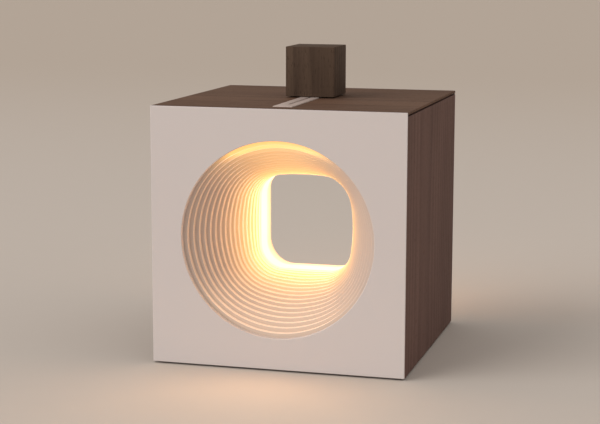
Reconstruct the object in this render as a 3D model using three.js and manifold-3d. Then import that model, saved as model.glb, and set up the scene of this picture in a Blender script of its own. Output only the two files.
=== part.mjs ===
import * as THREE from "three";
import { mergeVertices } from "three/addons/utils/BufferGeometryUtils.js";
import Module from "manifold-3d";

// A wooden cube lamp. Two stacks of white sheets fill a dark wooden case. Each sheet's opening is a
// little smaller than the one in front of it, and changes from the round mouth to the rounded
// square of a glowing ring at the middle of the cube, so one can look right through. A small
// wooden cube on the lid slides along a rail and dims the light.
//
// Millimetres, +Z up. The origin is the middle of the underside, and the front looks along -Y.

// Case
const caseSide = 160;
const wallThickness = 5;
const floorThickness = 6;
const lidThickness = 10;
const lidLipThickness = 1.5;
const lidShadowGap = 1;
const postSide = 8;
const feltThickness = 1;
const feltInset = 4;

// Sheets of the two stacks
const sheetThickness = 3.9;
const glueLine = 0.1;
const panelLipThickness = 0.8;
const stepsPerStack = 17;
const mouthRim = 19.4;
const throatHalf = 31.4;
const throatCorner = 16;
const flarePower = 1.6;
const frontRoundnessPower = 0.68;
const rearRoundnessPower = 3;

// Glowing ring between the stacks
const ringDepth = 16;
const diffuserThickness = 2.5;
const lightGap = 5.5;
const carrierThickness = 1.5;
const stripWidth = 10;
const stripThickness = 0.5;
const ledSide = 5;
const ledHeight = 1.6;
const ledPitch = 8;
const ledsPerSide = 4;

// Dimmer under the lid, and the cube that slides on it
const knobTravel = 100;
const knobSide = 32;
const knobRest = 12.8;
const knobChamfer = 0.4;
const knobSocketDepth = 14;
const railEnd = 16.7;
const railWidth = 12.2;
const railThickness = 1.6;
const railStand = 0.4;
const faderEnd = 14;
const faderWidth = 16;
const faderHeight = 8.4;
const faderSkin = 1.2;
const wiperLength = 10;
const leverLength = 4;
const leverThickness = 1;
const runningGap = 0.3;
const screwRadius = 1.5;
const screwHeadRadius = 2.8;
const screwHeadHeight = 1.6;
const screwLength = 14;
const screwInset = 4;

// Power inlet low in the rear, at the right as seen from behind
const inletHeight = 20;
const inletBoreRadius = 3.2;
const inletBoreDepth = 9;
const inletWall = 1.6;
const inletBarrelLength = 12;
const inletFlangeLip = 1.7;
const inletFlangeThickness = 1.4;
const inletPinRadius = 1;
const inletPinSetback = 1;
const inletTailRadius = 2.2;
const inletTailLength = 2;
const nutWall = 1.4;
const nutThickness = 2.6;
const nutRoom = 1.3;
const channelRib = 4.3;

// Control board in the space under the ring
const boardLength = 56;
const boardThickness = 1.6;
const boardStand = 2.4;
const boardDrop = 3;
const boardLeadRoom = 6.4;
const standoffRadius = 2;
const standoffInset = 4;
const partInset = 1.2;
const terminalLength = 9;
const terminalHeight = 8;
const terminalDepth = 7;
const chipSide = 8;
const chipHeight = 1.4;
const coilRadius = 4.5;
const coilHeight = 5;
const capacitorRadius = 3.2;
const capacitorHeight = 7;

// Leads inside the case
const powerLeadRadius = 1.8;
const ledLeadRadius = 1.1;
const faderLeadRadius = 1.3;
const leadGap = 0.3;
const leadHoleGap = 0.9;
const ledLeadOffset = 10;
const leadBend = 5;

// Counts that set how finely round shapes are cut
const contourPoints = 48;
const panelPoints = 96;
const cornerSegments = 6;
const screwSides = 12;
const inletSides = 16;
const leadSides = 8;
const nutSides = 6;
const powerLeadSteps = 32;
const ledLeadSteps = 8;
const faderLeadSteps = 36;

// How far a cutting shape runs past what it cuts
const overrun = 1;

// Places that follow from the sizes above
const sheetPitch = sheetThickness + glueLine;
const stackDepth = (stepsPerStack + 1) * sheetPitch;
const caseDepth = 2 * stackDepth + ringDepth;
const boardsDepth = caseDepth - 2 * (panelLipThickness + glueLine);
const caseBottom = feltThickness + glueLine;
const caseTop = caseBottom + caseSide;
const centreHeight = caseBottom + caseSide / 2;
const fittedHalf = caseSide / 2 - wallThickness - glueLine;
const sheetLow = -(caseSide / 2 - floorThickness - glueLine);
const sheetHigh = caseSide / 2 - lidThickness - glueLine;
const mouthRadius = caseSide / 2 - mouthRim;
const carrierHalf = throatHalf + diffuserThickness + lightGap + stripThickness + glueLine;
const carrierCorner = throatCorner + carrierHalf - throatHalf;
const carrierReach = carrierHalf + carrierThickness;
const railLength = knobTravel + 2 * railEnd;
const faderLength = knobTravel + 2 * faderEnd;
const railRecess = railThickness - railStand + glueLine;
const faderTop = -(lidThickness + glueLine);
const slitHalfLength = knobTravel / 2 + leverLength / 2 + runningGap;
const slitHalfWidth = leverThickness / 2 + runningGap;
const inletBarrelRadius = inletBoreRadius + inletWall;
const inletFlangeRadius = inletBarrelRadius + inletFlangeLip;
const nutCornerRadius = (inletBarrelRadius + nutWall) / Math.cos(Math.PI / nutSides);
const channelHalf = nutCornerRadius + nutRoom;
const inletOffset = fittedHalf - postSide - glueLine - channelRib - channelHalf;
const inletLevel = inletHeight - centreHeight;
const boardLow = sheetLow + boardDrop;
const boardHeight = -carrierReach - boardLeadRoom - boardLow;
const boardFace = -ringDepth / 2 + boardStand + boardThickness;

const colours = {
  white: { color: "#d6cfc6", roughness: 0.75, metalness: 0 },
  walnut: { color: "#3a2a20", roughness: 0.55, metalness: 0 },
  felt: { color: "#a89e94", roughness: 0.95, metalness: 0 },
  aluminium: { color: "#b9b3ad", roughness: 0.35, metalness: 0.9 },
  steel: { color: "#8d8f92", roughness: 0.4, metalness: 1 },
  opal: { color: "#ffe7bd", roughness: 0.5, metalness: 0 },
  strip: { color: "#efe9da", roughness: 0.6, metalness: 0 },
  circuit: { color: "#1f5a3a", roughness: 0.5, metalness: 0 },
  black: { color: "#191919", roughness: 0.45, metalness: 0 },
};

const quarters = [0, 1, 2, 3];

const wasm = await Module();
wasm.setup();

function solidOf(geometry) {
  const bare = geometry.clone();
  bare.deleteAttribute("normal");
  bare.deleteAttribute("uv");
  const merged = mergeVertices(bare);
  const vertProperties = merged.attributes.position.array;
  const triVerts = new Uint32Array(merged.index.array);
  return new wasm.Manifold(new wasm.Mesh({ numProp: 3, vertProperties, triVerts }));
}

function geometryOf(solid) {
  const { vertProperties, triVerts } = solid.getMesh();
  const indexed = new THREE.BufferGeometry();
  indexed.setAttribute("position", new THREE.BufferAttribute(vertProperties, 3));
  indexed.setIndex(new THREE.BufferAttribute(triVerts, 1));
  const geometry = indexed.toNonIndexed();
  geometry.computeVertexNormals();
  return geometry;
}

function join(...geometries) {
  return geometryOf(geometries.map(solidOf).reduce((all, next) => all.add(next)));
}

function cut(geometry, ...tools) {
  return geometryOf(tools.map(solidOf).reduce((rest, tool) => rest.subtract(tool), solidOf(geometry)));
}

function mesh(name, geometry, finish) {
  const made = new THREE.Mesh(geometry, new THREE.MeshStandardMaterial(colours[finish]));
  made.name = name;
  return made;
}

function groupAt(x, y, z) {
  const group = new THREE.Group();
  group.position.set(x, y, z);
  return group;
}

function boxBetween([lowX, lowY, lowZ], [highX, highY, highZ]) {
  return new THREE.BoxGeometry(highX - lowX, highY - lowY, highZ - lowZ).translate(
    (lowX + highX) / 2,
    (lowY + highY) / 2,
    (lowZ + highZ) / 2,
  );
}

// A round bar that stands along Z on the level given.
function uprightBar(radiusTop, radiusBottom, length, sides, level) {
  return new THREE.CylinderGeometry(radiusTop, radiusBottom, length, sides)
    .rotateX(Math.PI / 2)
    .translate(0, 0, level + length / 2);
}

// An outline drawn in X and Z, made a plate that runs from Y = 0 towards +Y.
function plateAlongY(shape, thickness) {
  return new THREE.ExtrudeGeometry(shape, {
    depth: thickness,
    bevelEnabled: false,
    curveSegments: cornerSegments,
  })
    .rotateX(Math.PI / 2)
    .translate(0, thickness, 0);
}

function outline(points) {
  return new THREE.Shape(points.map(([x, z]) => new THREE.Vector2(x, z)));
}

// Points at even angles, each at the distance that the reach function gives.
function pointsAround(count, reachAt) {
  return Array.from({ length: count }, (_, index) => {
    const angle = (index * 2 * Math.PI) / count;
    const reach = reachAt(angle);
    return new THREE.Vector2(reach * Math.cos(angle), reach * Math.sin(angle));
  });
}

function circlePoints(radius, count) {
  return pointsAround(count, () => radius);
}

function rectangle(halfWidth, low, high) {
  return outline([
    [-halfWidth, low],
    [halfWidth, low],
    [halfWidth, high],
    [-halfWidth, high],
  ]);
}

// A square of the half width given, with round corners, as a closed path.
function roundedSquare(half, corner, Kind = THREE.Shape) {
  const path = new Kind();
  const middle = half - corner;
  for (const quarter of quarters) {
    const start = (quarter * Math.PI) / 2;
    const sideX = Math.sign(Math.cos(start + Math.PI / 4));
    const sideZ = Math.sign(Math.sin(start + Math.PI / 4));
    path.absarc(sideX * middle, sideZ * middle, corner, start, start + Math.PI / 2, false);
  }
  path.closePath();
  return path;
}

// Distance from the middle of the throat to its edge, in the direction given.
function throatReach(angle) {
  const octant = Math.abs(((angle + Math.PI / 4) % (Math.PI / 2)) - Math.PI / 4);
  const middle = throatHalf - throatCorner;
  if (Math.tan(octant) <= middle / throatHalf) return throatHalf / Math.cos(octant);
  const along = middle * (Math.cos(octant) + Math.sin(octant));
  return along + Math.sqrt(throatCorner ** 2 - 2 * middle ** 2 + along ** 2);
}

// The opening of a sheet, a number of steps inwards. From the round mouth it narrows quickly at first.
// In front it stays nearly round until it is close to the rounded square of the throat. In the rear it
// turns square early, so that none of those sheets shows beyond the ring.
function openingPath(step, roundnessPower) {
  const wayLeft = 1 - step / (stepsPerStack + 1);
  const half = throatHalf + wayLeft ** flarePower * (mouthRadius - throatHalf);
  const roundShare = wayLeft ** roundnessPower;
  const squareScale = ((1 - roundShare) * half) / throatHalf;
  return new THREE.Path(
    pointsAround(contourPoints, (angle) => squareScale * throatReach(angle) + roundShare * half),
  );
}

// Outline of a sheet, anticlockwise from its lower left corner, with a notch for each corner post.
// The pocket leaves room for the dimmer above, and the channel for the power lead below.
function sheetOutline(hasPocket, hasChannel) {
  const post = postSide + glueLine;
  const pocketHalf = faderWidth / 2 + runningGap;
  const pocketFloor = sheetHigh - faderHeight - runningGap;
  const channelTop = inletLevel + channelHalf;
  const channel = [
    [inletOffset - channelHalf, sheetLow],
    [inletOffset - channelHalf, channelTop],
    [inletOffset + channelHalf, channelTop],
    [inletOffset + channelHalf, sheetLow],
  ];
  const pocket = [
    [pocketHalf, sheetHigh],
    [pocketHalf, pocketFloor],
    [-pocketHalf, pocketFloor],
    [-pocketHalf, sheetHigh],
  ];
  return outline([
    [-fittedHalf, sheetLow + post],
    [-fittedHalf + post, sheetLow + post],
    [-fittedHalf + post, sheetLow],
    ...(hasChannel ? channel : []),
    [fittedHalf - post, sheetLow],
    [fittedHalf - post, sheetLow + post],
    [fittedHalf, sheetLow + post],
    [fittedHalf, sheetHigh - post],
    [fittedHalf - post, sheetHigh - post],
    [fittedHalf - post, sheetHigh],
    ...(hasPocket ? pocket : []),
    [-fittedHalf + post, sheetHigh],
    [-fittedHalf + post, sheetHigh - post],
    [-fittedHalf, sheetHigh - post],
  ]);
}

function layer(stackName, step, roundnessPower, hasChannel) {
  const front = step * sheetPitch - caseDepth / 2;
  const meetsFader = front + sheetThickness > -(faderLength / 2 + runningGap);
  const shape = sheetOutline(meetsFader, hasChannel);
  shape.holes.push(openingPath(step, roundnessPower));
  const number = String(step).padStart(2, "0");
  const made = mesh(`${stackName}_layer_${number}`, plateAlongY(shape, sheetThickness), "white");
  made.position.y = front;
  return made;
}

// The outer panel is rebated: its thin lip covers the edges of the case and its thick part fits inside.
function panel(name, ...cuts) {
  const lip = plateAlongY(rectangle(caseSide / 2, -caseSide / 2, caseSide / 2), panelLipThickness);
  const plug = plateAlongY(rectangle(fittedHalf, sheetLow, sheetHigh), sheetThickness);
  const mouth = plateAlongY(
    new THREE.Shape(pointsAround(panelPoints, () => mouthRadius)),
    sheetThickness + 2 * overrun,
  ).translate(0, -overrun, 0);
  const made = mesh(name, cut(join(lip, plug), mouth, ...cuts), "white");
  made.position.y = -caseDepth / 2;
  return made;
}

function stack(stackName, roundnessPower, hasChannel, ...panelCuts) {
  const made = groupAt(0, 0, centreHeight);
  made.add(panel(`${stackName}_panel`, ...panelCuts));
  for (let step = 1; step <= stepsPerStack; step += 1) {
    made.add(layer(stackName, step, roundnessPower, hasChannel));
  }
  return made;
}

// The hole for the inlet's barrel, with a wider seat that its flange sinks into.
function inletCuts() {
  const hole = new THREE.CylinderGeometry(
    inletBarrelRadius + runningGap,
    inletBarrelRadius + runningGap,
    sheetThickness + 2 * overrun,
    inletSides,
  ).translate(inletOffset, sheetThickness / 2, inletLevel);
  const seatDepth = inletFlangeThickness + glueLine;
  const seat = new THREE.CylinderGeometry(
    inletFlangeRadius + runningGap,
    inletFlangeRadius + runningGap,
    seatDepth + overrun,
    inletSides,
  ).translate(inletOffset, (seatDepth - overrun) / 2, inletLevel);
  return [hole, seat];
}

function sideWall(name, side) {
  const height = caseSide - lidLipThickness - lidShadowGap;
  const made = mesh(name, new THREE.BoxGeometry(wallThickness, boardsDepth, height), "walnut");
  made.position.set((side * (caseSide - wallThickness)) / 2, 0, caseBottom + height / 2);
  return made;
}

function bottomBoard() {
  const board = new THREE.BoxGeometry(2 * fittedHalf, boardsDepth, floorThickness);
  const made = mesh("bottom_board", board, "walnut");
  made.position.z = caseBottom + floorThickness / 2;
  return made;
}

function baseFelt() {
  const width = caseSide - 2 * feltInset;
  const felt = new THREE.BoxGeometry(width, caseDepth - 2 * feltInset, feltThickness);
  const made = mesh("base_felt", felt, "felt");
  made.position.z = feltThickness / 2;
  return made;
}

function cornerPost(name, side, upDown) {
  const length = caseDepth - 2 * sheetPitch;
  const made = mesh(name, new THREE.BoxGeometry(postSide, length, postSide), "walnut");
  const level = upDown > 0 ? sheetHigh - postSide / 2 : sheetLow + postSide / 2;
  made.position.set(side * (fittedHalf - postSide / 2), 0, centreHeight + level);
  return made;
}

// The places of the two screws that hold the dimmer up against the lid.
function screwPlaces() {
  const reach = faderLength / 2 - screwInset;
  return [
    ["front", -reach],
    ["rear", reach],
  ];
}

// The lid is rebated like the panels. Its origin is the middle of its top face.
function topLid() {
  const lip = boxBetween(
    [-caseSide / 2, -boardsDepth / 2, -lidLipThickness],
    [caseSide / 2, boardsDepth / 2, 0],
  );
  const plug = boxBetween(
    [-fittedHalf, -boardsDepth / 2, -lidThickness],
    [fittedHalf, boardsDepth / 2, 0],
  );
  const recess = boxBetween(
    [-railWidth / 2 - glueLine, -railLength / 2 - glueLine, -railRecess],
    [railWidth / 2 + glueLine, railLength / 2 + glueLine, overrun],
  );
  const slot = boxBetween(
    [-slitHalfWidth - runningGap, -slitHalfLength - runningGap, -lidThickness - overrun],
    [slitHalfWidth + runningGap, slitHalfLength + runningGap, overrun],
  );
  const shankRadius = screwRadius + runningGap;
  const headRadius = screwHeadRadius + runningGap;
  const headLevel = -railRecess - screwHeadHeight - glueLine;
  const holes = screwPlaces().flatMap(([, y]) => [
    uprightBar(shankRadius, shankRadius, lidThickness + overrun, screwSides, -lidThickness - overrun)
      .translate(0, y, 0),
    uprightBar(headRadius, shankRadius, screwHeadHeight + glueLine, screwSides, headLevel)
      .translate(0, y, 0),
  ]);
  return mesh("top_lid", cut(join(lip, plug), recess, slot, ...holes), "walnut");
}

function slideRail() {
  const bar = boxBetween(
    [-railWidth / 2, -railLength / 2, 0],
    [railWidth / 2, railLength / 2, railThickness],
  );
  const slit = boxBetween(
    [-slitHalfWidth, -slitHalfLength, -overrun],
    [slitHalfWidth, slitHalfLength, railThickness + overrun],
  );
  const made = mesh("slide_rail", cut(bar, slit), "aluminium");
  made.position.z = railStand - railThickness;
  return made;
}

// A countersunk screw with the top of its head at its origin.
function faderScrew(name, y) {
  const profile = [
    new THREE.Vector2(0, -screwLength),
    new THREE.Vector2(screwRadius, -screwLength),
    new THREE.Vector2(screwRadius, -screwHeadHeight),
    new THREE.Vector2(screwHeadRadius, 0),
    new THREE.Vector2(0, 0),
  ];
  const made = mesh(name, new THREE.LatheGeometry(profile, screwSides).rotateX(Math.PI / 2), "steel");
  made.position.set(0, y, -railRecess - glueLine);
  return made;
}

// The sliding resistor's steel housing. Its top is its origin, and the wiper runs in its hollow.
function faderHousing() {
  const cavityHalfLength = knobTravel / 2 + wiperLength / 2 + runningGap;
  const cavityHalfWidth = faderWidth / 2 - faderSkin;
  const shell = boxBetween(
    [-faderWidth / 2, -faderLength / 2, -faderHeight],
    [faderWidth / 2, faderLength / 2, 0],
  );
  const cavity = boxBetween(
    [-cavityHalfWidth, -cavityHalfLength, faderSkin - faderHeight],
    [cavityHalfWidth, cavityHalfLength, -faderSkin],
  );
  const slit = boxBetween(
    [-slitHalfWidth - runningGap, -slitHalfLength - runningGap, -faderSkin - overrun],
    [slitHalfWidth + runningGap, slitHalfLength + runningGap, overrun],
  );
  const holeRadius = screwRadius + runningGap;
  const holes = screwPlaces().map(([, y]) =>
    uprightBar(holeRadius, holeRadius, faderHeight + 2 * overrun, screwSides, -faderHeight - overrun)
      .translate(0, y, 0),
  );
  const made = mesh("fader_housing", cut(shell, cavity, slit, ...holes), "steel");
  made.position.z = faderTop;
  return made;
}

// The wiper is a block in the housing with a flat lever that rises through lid and rail.
function faderWiper() {
  const halfWidth = faderWidth / 2 - faderSkin - runningGap;
  const blockTop = faderTop - faderSkin - runningGap;
  const blockLow = faderTop - faderHeight + faderSkin + runningGap;
  const leverTop = railStand + runningGap + knobSocketDepth - glueLine;
  const block = boxBetween(
    [-halfWidth, -wiperLength / 2, blockLow],
    [halfWidth, wiperLength / 2, blockTop],
  );
  const lever = boxBetween(
    [-leverThickness / 2, -leverLength / 2, blockLow],
    [leverThickness / 2, leverLength / 2, leverTop],
  );
  return mesh("fader_wiper", join(block, lever), "black");
}

// The knob is a wooden cube with fine chamfers and a blind socket that the lever is pushed into.
function knob() {
  const half = knobSide / 2;
  const flat = half - knobChamfer;
  const square = outline([
    [-flat, -half],
    [flat, -half],
    [half, -flat],
    [half, flat],
    [flat, half],
    [-flat, half],
    [-half, flat],
    [-half, -flat],
  ]);
  const block = new THREE.ExtrudeGeometry(square, {
    depth: knobSide - 2 * knobChamfer,
    bevelThickness: knobChamfer,
    bevelSize: knobChamfer,
    bevelOffset: -knobChamfer,
    bevelSegments: 1,
  }).translate(0, 0, knobChamfer);
  const socketHalfWidth = leverThickness / 2 + glueLine;
  const socketHalfLength = leverLength / 2 + glueLine;
  const socket = boxBetween(
    [-socketHalfWidth, -socketHalfLength, -overrun],
    [socketHalfWidth, socketHalfLength, knobSocketDepth],
  );
  const made = mesh("knob", cut(block, socket), "walnut");
  made.position.z = railStand + runningGap;
  return made;
}

function slidingGroup() {
  const made = groupAt(0, knobRest, 0);
  made.add(knob(), faderWiper());
  return made;
}

function lidGroup() {
  const made = groupAt(0, 0, caseTop);
  const screws = screwPlaces().map(([name, y]) => faderScrew(`fader_screw_${name}`, y));
  made.add(topLid(), slideRail(), faderHousing(), ...screws, slidingGroup());
  return made;
}

function squareRing(innerHalf, innerCorner, thickness, depth) {
  const shape = roundedSquare(innerHalf + thickness, innerCorner + thickness);
  shape.holes.push(roundedSquare(innerHalf, innerCorner, THREE.Path));
  return plateAlongY(shape, depth).translate(0, -depth / 2, 0);
}

function ledStrip() {
  const innerHalf = carrierHalf - glueLine - stripThickness;
  const band = squareRing(innerHalf, throatCorner + innerHalf - throatHalf, stripThickness, stripWidth);
  const leds = quarters.flatMap((quarter) =>
    Array.from({ length: ledsPerSide }, (_, place) => {
      const along = (place - (ledsPerSide - 1) / 2) * ledPitch;
      return boxBetween(
        [along - ledSide / 2, -ledSide / 2, innerHalf - ledHeight],
        [along + ledSide / 2, ledSide / 2, innerHalf + stripThickness / 2],
      ).rotateY((quarter * Math.PI) / 2);
    }),
  );
  return mesh("led_strip", join(band, ...leds), "strip");
}

// The carrier stands behind the strip and lets its lead out below.
function ledCarrier() {
  const ring = squareRing(carrierHalf, carrierCorner, carrierThickness, ringDepth);
  const holeRadius = ledLeadRadius + leadHoleGap;
  const holeLength = carrierThickness + 2 * overrun;
  const hole = uprightBar(holeRadius, holeRadius, holeLength, leadSides, -carrierReach - overrun)
    .translate(-ledLeadOffset, 0, 0);
  return mesh("led_carrier", cut(ring, hole), "aluminium");
}

function lightGroup() {
  const made = groupAt(0, 0, centreHeight);
  const diffuser = squareRing(throatHalf, throatCorner, diffuserThickness, ringDepth);
  made.add(mesh("diffuser_ring", diffuser, "opal"), ledStrip(), ledCarrier());
  return made;
}

// The inlet is turned about Y from its pin's tip, down into the bore, and back over the outside.
function powerInlet() {
  const bore = inletBoreDepth;
  const barrelEnd = inletFlangeThickness + inletBarrelLength;
  const tailEnd = barrelEnd + inletTailLength;
  const profile = [
    [0, inletPinSetback],
    [inletPinRadius, inletPinSetback],
    [inletPinRadius, bore],
    [inletBoreRadius, bore],
    [inletBoreRadius, 0],
    [inletFlangeRadius, 0],
    [inletFlangeRadius, inletFlangeThickness],
    [inletBarrelRadius, inletFlangeThickness],
    [inletBarrelRadius, barrelEnd],
    [inletTailRadius, barrelEnd],
    [inletTailRadius, tailEnd],
    [0, tailEnd],
  ].map(([radius, y]) => new THREE.Vector2(radius, y));
  const made = mesh("power_inlet", new THREE.LatheGeometry(profile, inletSides), "black");
  made.position.set(inletOffset, -caseDepth / 2, inletLevel);
  return made;
}

function inletNut() {
  const hexagon = new THREE.Shape(circlePoints(nutCornerRadius, nutSides));
  hexagon.holes.push(new THREE.Path(circlePoints(inletBarrelRadius + runningGap, inletSides)));
  const made = mesh("inlet_nut", plateAlongY(hexagon, nutThickness), "steel");
  made.position.set(inletOffset, sheetPitch - caseDepth / 2, inletLevel);
  return made;
}

// A part of the control board that stands on its face, away from the rear.
function boardBlock(middleX, middleZ, width, height, depth) {
  return boxBetween(
    [middleX - width / 2, boardFace - boardThickness / 2, middleZ - height / 2],
    [middleX + width / 2, boardFace + depth, middleZ + height / 2],
  );
}

function boardCan(middleX, middleZ, radius, depth) {
  const length = depth + boardThickness / 2;
  return new THREE.CylinderGeometry(radius, radius, length, inletSides).translate(
    middleX,
    boardFace + depth - length / 2,
    middleZ,
  );
}

function controlBoard() {
  const plate = boxBetween(
    [-boardLength / 2, boardFace - boardThickness, boardLow],
    [boardLength / 2, boardFace, boardLow + boardHeight],
  );
  const standoffs = [-1, 1].flatMap((sideX) =>
    [-1, 1].map((sideZ) => {
      const length = boardStand + boardThickness / 2;
      return new THREE.CylinderGeometry(standoffRadius, standoffRadius, length, leadSides).translate(
        sideX * (boardLength / 2 - standoffInset),
        -ringDepth / 2 + length / 2,
        boardLow + boardHeight / 2 + sideZ * (boardHeight / 2 - standoffInset),
      );
    }),
  );
  const terminalX = boardLength / 2 - partInset - terminalLength / 2;
  const middle = boardLow + boardHeight / 2;
  const low = boardLow + partInset;
  const high = boardLow + boardHeight - partInset;
  const parts = [
    boardBlock(terminalX, middle, terminalLength, terminalHeight, terminalDepth),
    boardBlock(-terminalX, middle, terminalLength, terminalHeight, terminalDepth),
    boardBlock(ledLeadOffset, high - terminalHeight / 2, terminalLength, terminalHeight, terminalDepth),
    boardBlock(-ledLeadOffset, high - chipSide / 2, chipSide, chipSide, chipHeight),
    boardCan(-ledLeadOffset, low + coilRadius, coilRadius, coilHeight),
    boardCan(ledLeadOffset, low + capacitorRadius, capacitorRadius, capacitorHeight),
  ];
  return mesh("control_board", join(plate, ...standoffs, ...parts), "circuit");
}

// A round lead along a smooth curve through the points given.
function lead(name, radius, steps, points) {
  const curve = new THREE.CatmullRomCurve3(points.map((point) => new THREE.Vector3(...point)));
  const section = new THREE.Shape(circlePoints(radius, leadSides));
  return mesh(name, new THREE.ExtrudeGeometry(section, { steps, extrudePath: curve }), "black");
}

// From the inlet's tail along the channel, then across to the board's terminal.
function powerLead() {
  const inletEnd = inletFlangeThickness + inletBarrelLength + inletTailLength + leadGap - caseDepth / 2;
  const level = boardLow + boardHeight / 2;
  const terminalY = boardFace + terminalDepth / 2;
  const terminalX = boardLength / 2 - partInset + leadGap;
  const bendX = (inletOffset + terminalX) / 2;
  const points = [
    [inletOffset, inletEnd, inletLevel],
    [inletOffset, inletEnd / 2 - ringDepth / 2, inletLevel],
    [inletOffset, -ringDepth, (inletLevel + level) / 2],
    [(inletOffset + bendX) / 2, terminalY - boardStand, level],
    [bendX, terminalY, level],
    [terminalX, terminalY, level],
  ];
  return lead("power_lead", powerLeadRadius, powerLeadSteps, points);
}

// From the strip, out through the carrier's hole, down to the board.
function ledLead() {
  const start = -carrierHalf + glueLine - leadGap;
  const end = boardLow + boardHeight - partInset + leadGap;
  const terminalY = boardFace + terminalDepth / 2;
  const below = (start - carrierThickness + end) / 2 - leadGap;
  const points = [
    [ledLeadOffset, 0, start],
    [ledLeadOffset, 0, start - carrierThickness],
    [ledLeadOffset, terminalY / 2, below],
    [ledLeadOffset, terminalY, end],
  ];
  return lead("led_lead", ledLeadRadius, ledLeadSteps, points);
}

// From under the dimmer, round the outside of the carrier, to the board's other terminal.
function faderLead() {
  const start = sheetHigh - faderHeight - leadGap;
  const drop = (start - carrierReach) / 4;
  const round = (carrierReach + fittedHalf) / 2;
  const level = boardLow + boardHeight / 2;
  const terminalY = boardFace + terminalDepth / 2;
  const terminalX = -boardLength / 2 + partInset - leadGap;
  const points = [
    [0, 0, start],
    [0, 0, start - drop],
    [-carrierReach / 2, 0, start - 2 * drop],
    [-carrierReach - leadBend, 0, carrierReach - leadBend],
    [-round, 0, 0],
    [-carrierReach - leadBend, terminalY / 2, level + leadBend],
    [terminalX - leadBend, terminalY, level],
    [terminalX, terminalY, level],
  ];
  return lead("fader_lead", faderLeadRadius, faderLeadSteps, points);
}

// What is reached from behind shares the rear stack's frame: X runs to the right seen from there,
// and the rear face is at the most negative Y.
function rearGroup() {
  const made = stack("rear", rearRoundnessPower, true, ...inletCuts());
  made.add(powerInlet(), inletNut(), controlBoard(), powerLead(), ledLead(), faderLead());
  made.rotation.z = Math.PI;
  return made;
}

function caseGroup() {
  const made = new THREE.Group();
  made.add(sideWall("left_wall", -1), sideWall("right_wall", 1), bottomBoard(), baseFelt());
  made.add(cornerPost("post_low_left", -1, -1), cornerPost("post_low_right", 1, -1));
  made.add(cornerPost("post_high_left", -1, 1), cornerPost("post_high_right", 1, 1));
  return made;
}

const lamp = new THREE.Group();
const front = stack("front", frontRoundnessPower, false);
lamp.add(caseGroup(), front, rearGroup(), lightGroup(), lidGroup());

export default lamp;
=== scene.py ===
import math

import bmesh
import bpy
from bpy.props import FloatProperty, FloatVectorProperty, IntProperty, PointerProperty
from bpy.types import Operator, Panel, PropertyGroup
from mathutils import Matrix, Quaternion, Vector


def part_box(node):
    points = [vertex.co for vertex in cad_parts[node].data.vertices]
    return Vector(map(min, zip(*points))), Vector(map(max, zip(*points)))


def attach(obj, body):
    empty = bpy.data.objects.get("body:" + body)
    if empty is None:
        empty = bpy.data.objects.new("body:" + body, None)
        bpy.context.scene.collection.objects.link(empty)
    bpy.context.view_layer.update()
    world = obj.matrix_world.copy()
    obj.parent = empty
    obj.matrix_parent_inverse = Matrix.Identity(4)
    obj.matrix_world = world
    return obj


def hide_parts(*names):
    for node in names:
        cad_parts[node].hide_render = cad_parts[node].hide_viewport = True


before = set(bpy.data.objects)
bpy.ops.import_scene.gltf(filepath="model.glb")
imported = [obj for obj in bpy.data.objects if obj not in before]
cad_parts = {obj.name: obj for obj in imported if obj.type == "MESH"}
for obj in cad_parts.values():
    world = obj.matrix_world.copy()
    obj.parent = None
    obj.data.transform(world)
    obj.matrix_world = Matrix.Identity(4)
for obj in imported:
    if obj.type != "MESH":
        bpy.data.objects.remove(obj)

bl_info = {
    "name": "Wooden cube lamp",
    "version": (1, 0, 0),
    "blender": (4, 5, 0),
    "location": "View3D > Sidebar > Lamp",
    "description": "Models the lamp's visible pieces round its frame and gives every piece its finish",
    "category": "Object",
}

MM = 0.001

# How far a cutter reaches past what it cuts
OVERRUN = 1 * MM

# Points nearer to each other than this are one point
MERGE = 0.002 * MM

# Angles between faces: up to the first they are one flat face, up to the second they are shaded as one
# curve, and past the third their edge is rounded
FLAT = math.radians(0.5)
CURVED = math.radians(20)
SHARP = math.radians(40)

# Shares of a face's normal along an axis. With more than the first, the face looks along the axis. With
# less than the second along the depth, a sheet's face is a wall
FACING = 0.9
WALL_FACING = 0.75

# Sides of what is turned and of the floor, and steps round each corner of the ring and of the felt
TURNED_SIDES = 48
FLOOR_SIDES = 96
RING_STEPS = 24
FELT_STEPS = 6

# The bodies that the pieces ride on
CASE = "lamp_case"
SLIDER = "slider"


def linear(red, green, blue):
    """A colour written as 0 to 255, as shaders take it."""
    parts = [channel / 255 for channel in (red, green, blue)]
    return [part / 12.92 if part <= 0.04045 else ((part + 0.055) / 1.055) ** 2.4 for part in parts]


def number(name, description, default, **choices):
    return FloatProperty(name=name, description=description, default=default, **choices)


def length(name, description, millimetres):
    return number(name, description, millimetres * MM, min=0, subtype="DISTANCE", unit="LENGTH")


def angle(name, description, degrees):
    return number(name, description, math.radians(degrees), subtype="ANGLE", unit="ROTATION")


def level(name, description, default):
    return number(name, description, default, min=0)


def power(name, description, watts):
    return number(name, description, watts, min=0, unit="POWER")


def colour(name, description, red, green, blue):
    tint = linear(red, green, blue)
    return FloatVectorProperty(
        name=name, description=description, default=tint, min=0, soft_max=1, subtype="COLOR"
    )


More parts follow.
